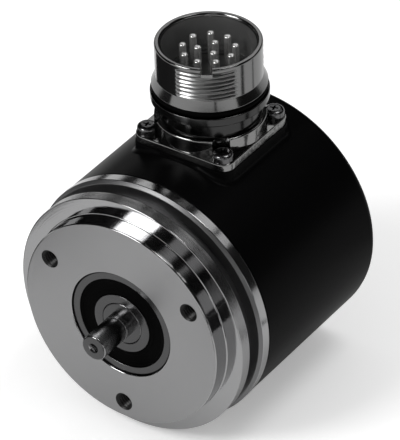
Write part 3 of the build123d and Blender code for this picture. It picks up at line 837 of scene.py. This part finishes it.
# %% Zones of the barrel
NICKEL, BORE, THREAD, NECK = range(4)
neck_top = 41.6


def barrel_zone(out, height):
    """Zone that a face of the barrel lies in, by its place round the socket's axis."""
    if out < bore_radius + 0.05 and height > bore_floor + 0.1:
        return BORE
    if height < neck_top:
        return NECK
    cut = 11 < out < barrel_radius - 0.03 and thread_start < height < thread_stop
    return THREAD if cut else NICKEL


dress(barrel, nickel, bore_nickel, thread_nickel, neck_shade_nickel)
for face in barrel.data.polygons:
    out = math.hypot(face.center.x / mm, face.center.y / mm - socket_y)
    face.material_index = barrel_zone(out, face.center.z / mm)
zones = [face.material_index for face in barrel.data.polygons]
print("faces in each zone of the barrel:", [zones.count(zone) for zone in range(4)])

# %% [markdown]
# The screws are blackened, and the insert is a dull black plastic. The pins are plated and paler
# than all around them, because they have to show at the bottom of a dark bore.

# %% Screws, insert and pins
screw_black = shader("blackened screw steel", (0.13, 0.13, 0.132), 1.0, 0.24)
grain(screw_black, 2200, 0.2)
insert_black = shader("insert plastic", (0.012, 0.012, 0.012), 0.0, 0.42)
grain(insert_black, 1600, 0.15)
pin_metal = shader("pin plating", (0.85, 0.85, 0.84), 0.9, 0.25)
grain(pin_metal, 2600, 0.1)
for piece in (cover_screws, socket_screws):
    dress(piece, screw_black)
dress(insert, insert_black)
dress(pins, pin_metal)
print("dressed", cover_screws.name, socket_screws.name, insert.name, pins.name)

# %% [markdown]
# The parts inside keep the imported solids' meshes, which are the right shape. Each gets the finish
# of what it is made of, by the material slot that the record names for it. A finish by slot is one
# line for all the parts of a kind, where a finish by part would be a long list.

# %% Finishes of the inner parts
def plastic_finish(name, colour):
    """Moulded plastic of one colour."""
    made = shader(name, colour, 0.0, 0.4)
    grain(made, 1400, 0.15)
    return made


brass = shader("brass", (0.72, 0.52, 0.2), 1.0, 0.25)
lathe_marks(brass, 3000, 0.2)
board = shader("circuit board", (0.02, 0.11, 0.05), 0.0, 0.35)
grain(board, 700, 0.15)
hub_metal = shader("turned hub aluminium", (0.7, 0.7, 0.71), 1.0, 0.3)
lathe_marks(hub_metal, 4000, 0.3)
disc_glass = shader("disc glass", (0.75, 0.85, 0.85), 0.0, 0.03, Transmission_Weight=0.9)
cloudy(disc_glass, 300, 0.02, 0.06)
magnet_metal = shader("magnet", (0.35, 0.35, 0.36), 1.0, 0.3)
grain(magnet_metal, 1800, 0.2)
resin = shader("clear resin", (0.85, 0.86, 0.9), 0.0, 0.08, Transmission_Weight=0.8)
cloudy(resin, 800, 0.05, 0.12)
print("finishes for the inside:", brass.name, "to", resin.name)

# %% [markdown]
# A dictionary ties each slot's name to its finish. The loop then asks the record for the slot of
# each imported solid. Solids that a fine piece stands for aren't in the list, since they are hidden.

# %% Slots of the inner parts
slot_finish = {
    "bearing_steel": ring_steel, "spring_steel": ring_steel, "hub_aluminium": hub_metal,
    "disc_glass": disc_glass, "gear_brass": brass, "pillar_brass": brass,
    "magnet": magnet_metal, "lamp_resin": resin, "circuit_board": board,
    "ribbon": plastic_finish("ribbon sheath", (0.35, 0.36, 0.38)),
    "cage_plastic": plastic_finish("cage plastic", (0.12, 0.07, 0.03)),
    "gear_plastic": plastic_finish("wheel plastic", (0.75, 0.74, 0.7)),
    "carrier_plastic": plastic_finish("carrier plastic", (0.05, 0.05, 0.055)),
    "chip_resin": plastic_finish("chip resin", (0.015, 0.015, 0.016)),
}  # fmt: skip
node_slot = {part["node"]: part.get("material_slot") for part in frame["record"]["subparts"]}
for name, thing in solid.items():
    if node_slot.get(name) in slot_finish:
        dress(thing, slot_finish[node_slot[name]])
print("slots in the record:", sorted({str(s) for s in node_slot.values()}))

# %% [markdown]
# The camera stands where the photographer stood: the view was fitted once from the edges of the
# flange, the socket and the cover, and is written here as an eye, a point aimed at and a roll. Its
# matrix is built from three axes, which is exact, where tilting by eye takes many tries.

# %% Camera
aim, distance = Vector((0.000988, 0.029501, 0.010291)), 0.915
azimuth, elevation, roll = (math.radians(a) for a in (35.52, 35.556, -1.924))
level_way = Vector((math.sin(azimuth), -math.cos(azimuth), 0))
eye = aim + distance * (level_way * math.cos(elevation) + Vector((0, 0, math.sin(elevation))))
back = (eye - aim).normalized()
right = Vector((0, 0, 1)).cross(back).normalized()
up = back.cross(right)
side = right * math.cos(roll) + up * math.sin(roll)
head = up * math.cos(roll) - right * math.sin(roll)
lens = bpy.data.cameras.new("camera")
lens.lens, lens.sensor_width, lens.sensor_height, lens.sensor_fit = 342.15, 36, 36, "AUTO"
lens.clip_start, lens.clip_end = 0.01, 50
camera = bpy.data.objects.new("camera", lens)
camera.matrix_world = Matrix.Translation(eye) @ Matrix((side, head, back)).transposed().to_4x4()
bpy.context.collection.objects.link(camera)
bpy.context.scene.camera = camera
print("camera at", [round(value, 3) for value in eye], "with a lens of", lens.lens, "mm")

# %% [markdown]
# The floor and the world are white to the camera, and light the object at a plain level. Bright
# metal would only mirror that white, so the set stands in a black tent with windows, as shiny
# products are photographed. The tent and the cards beside the object show in reflections alone.

# %% Stage helpers
def stage_mesh(name, bm, material):
    """Object that belongs to the set and not to the part."""
    mesh = bpy.data.meshes.new(name)
    bm.to_mesh(mesh)
    bm.free()
    thing = bpy.data.objects.new(name, mesh)
    bpy.context.collection.objects.link(thing)
    dress(thing, material)
    return thing


def glossy_only(thing):
    """Shows a thing of the set in reflections and nowhere else."""
    thing.visible_camera = thing.visible_diffuse = thing.visible_transmission = False
    thing.visible_shadow = thing.visible_volume_scatter = False


# %% Floor
floor_level, floor_glow = -0.0298, 0.28
paper = shader("floor paper", (0.93, 0.93, 0.93), 0.0, 0.9)
bm = bmesh.new()
bmesh.ops.create_grid(bm, x_segments=1, y_segments=1, size=3)
bmesh.ops.translate(bm, verts=bm.verts, vec=(0, 0, floor_level))
stage_mesh("floor", bm, paper)
to_camera = node(paper, "ShaderNodeLightPath").outputs["Is Camera Ray"]
main_shader(paper).inputs["Emission Color"].default_value = (1, 1, 1, 1)
glow = spread(paper, to_camera, 0.0, floor_glow)
join(paper, glow, main_shader(paper).inputs["Emission Strength"])
print("floor at", floor_level)

# %% [markdown]
# The tent is a dome of black cloth, and a window is a gap in it: faces of the dome are left out
# between two compass angles and two heights, in degrees. Each window was placed by working out
# where a ray from the camera goes after it meets the pilot, the shoulder or the rim. Big lamps
# could make the same bright patches, but they would light the black cover as well.

# %% Black tent with windows
velvet = shader("black velvet", (0.012, 0.012, 0.012), 0.0, 0.9)
tent_radius, tent_foot = 1.3, -2
windows = [
    (91, 111, 44, 52), (111, 128, 34, 48), (60, 80, 40, 50), (48, 57, 29, 37), (116, 136, 30, 40),
    (132, 142, 8, 20), (225, 316, 2, 20), (320, 360, 2, 20), (284, 297, 40, 52), (304, 312, 28, 40),
]  # fmt: skip
bm = bmesh.new()
bmesh.ops.create_uvsphere(bm, u_segments=90, v_segments=45, radius=tent_radius)
for face in list(bm.faces):
    at = face.calc_center_median()
    round_way = math.degrees(math.atan2(at.y, at.x)) % 360
    rise = math.degrees(math.asin(at.z / at.length))
    open_here = any(a < round_way < b and low < rise < high for a, b, low, high in windows)
    if rise < tent_foot or open_here:
        bm.faces.remove(face)
tent = stage_mesh("black tent", bm, velvet)
glossy_only(tent)
print("tent of", len(tent.data.polygons), "faces with", len(windows), "windows")

# %% [markdown]
# The lower half of a shiny cylinder mirrors the floor, and on white paper it would turn pale. Black
# cards on the floor give it dark patches with crisp borders. Each card is the place of its middle,
# its half size in metres and its turn in degrees, and all lie just above the paper.

# %% Black cards on the floor
card_lift = 0.0005
card_places = [
    ((-0.132, -0.022), (0.068, 0.098), 0), ((0.022, -0.068), (0.033, 0.014), 12),
    ((0.446, -0.378), (0.43, 0.12), -42), ((0.116, 0.069), (0.04, 0.008), 17),
    ((0.082, 0.12), (0.04, 0.004), 50),
]  # fmt: skip
bm = bmesh.new()
for middle, half, turn in card_places:
    made = bmesh.ops.create_grid(bm, x_segments=1, y_segments=1, size=1)["verts"]
    spun = Matrix.Rotation(math.radians(turn), 4, "Z") @ Matrix.Diagonal((*half, 1, 1))
    place = Matrix.Translation((*middle, floor_level + card_lift))
    bmesh.ops.transform(bm, matrix=place @ spun, verts=made)
cards = stage_mesh("black cards", bm, velvet)
glossy_only(cards)
print("cards on the floor:", len(card_places))

# %% [markdown]
# The world is a plain white sky at half strength for the object, and at full strength for the
# camera and for what metal and glass mirror or show through. A picture of a room could light it
# too, but its colours would tint the bright metal.

# %% World
sky_on_object, sky_seen = 0.5, 1.0
world = bpy.data.worlds.new("studio")
world.use_nodes = True
bpy.context.scene.world = world
sky = world.node_tree.nodes["Background"]
path = world.node_tree.nodes.new("ShaderNodeLightPath")
seen = path.outputs["Is Camera Ray"]
for ray in ("Is Glossy Ray", "Is Transmission Ray"):
    either = world.node_tree.nodes.new("ShaderNodeMath")
    either.operation = "MAXIMUM"
    world.node_tree.links.new(seen, either.inputs[0])
    world.node_tree.links.new(path.outputs[ray], either.inputs[1])
    seen = either.outputs[0]
light = world.node_tree.nodes.new("ShaderNodeMapRange")
light.inputs["To Min"].default_value = sky_on_object
light.inputs["To Max"].default_value = sky_seen
world.node_tree.links.new(seen, light.inputs["Value"])
sky.inputs["Color"].default_value = (1, 1, 1, 1)
world.node_tree.links.new(light.outputs["Result"], sky.inputs["Strength"])
print("sky", sky_on_object, "on the object,", sky_seen, "to the camera")

# %% [markdown]
# Two soft boxes light the object. The key box stands high at the front left and draws the bright
# fan on the flange's face. The fill box hangs overhead, where no turned band mirrors it to the
# camera. Small lamps would be simpler, but they leave hard points of light on turned metal. The
# Standard view shows a colour as it is written.

# %% Lamps
def soft_box(name, place, target, size, watts):
    """Rectangular lamp that faces a point, in metres."""
    data = bpy.data.lights.new(name, "AREA")
    data.shape, data.size, data.size_y, data.energy = "RECTANGLE", size[0], size[1], watts
    lamp = bpy.data.objects.new(name, data)
    lamp.location = place
    lamp.rotation_euler = (Vector(target) - Vector(place)).to_track_quat("-Z", "Y").to_euler()
    bpy.context.collection.objects.link(lamp)
    print(name, watts, "watts")


soft_box("key box", (-0.33, -0.66, 0.63), (0, 0.02, 0.01), (0.36, 0.38), 5.5)
soft_box("fill box", (0.3, 0.2, 0.95), (0, 0.03, 0.01), (0.3, 0.3), 2)

scene = bpy.context.scene
scene.view_settings.view_transform = "Standard"
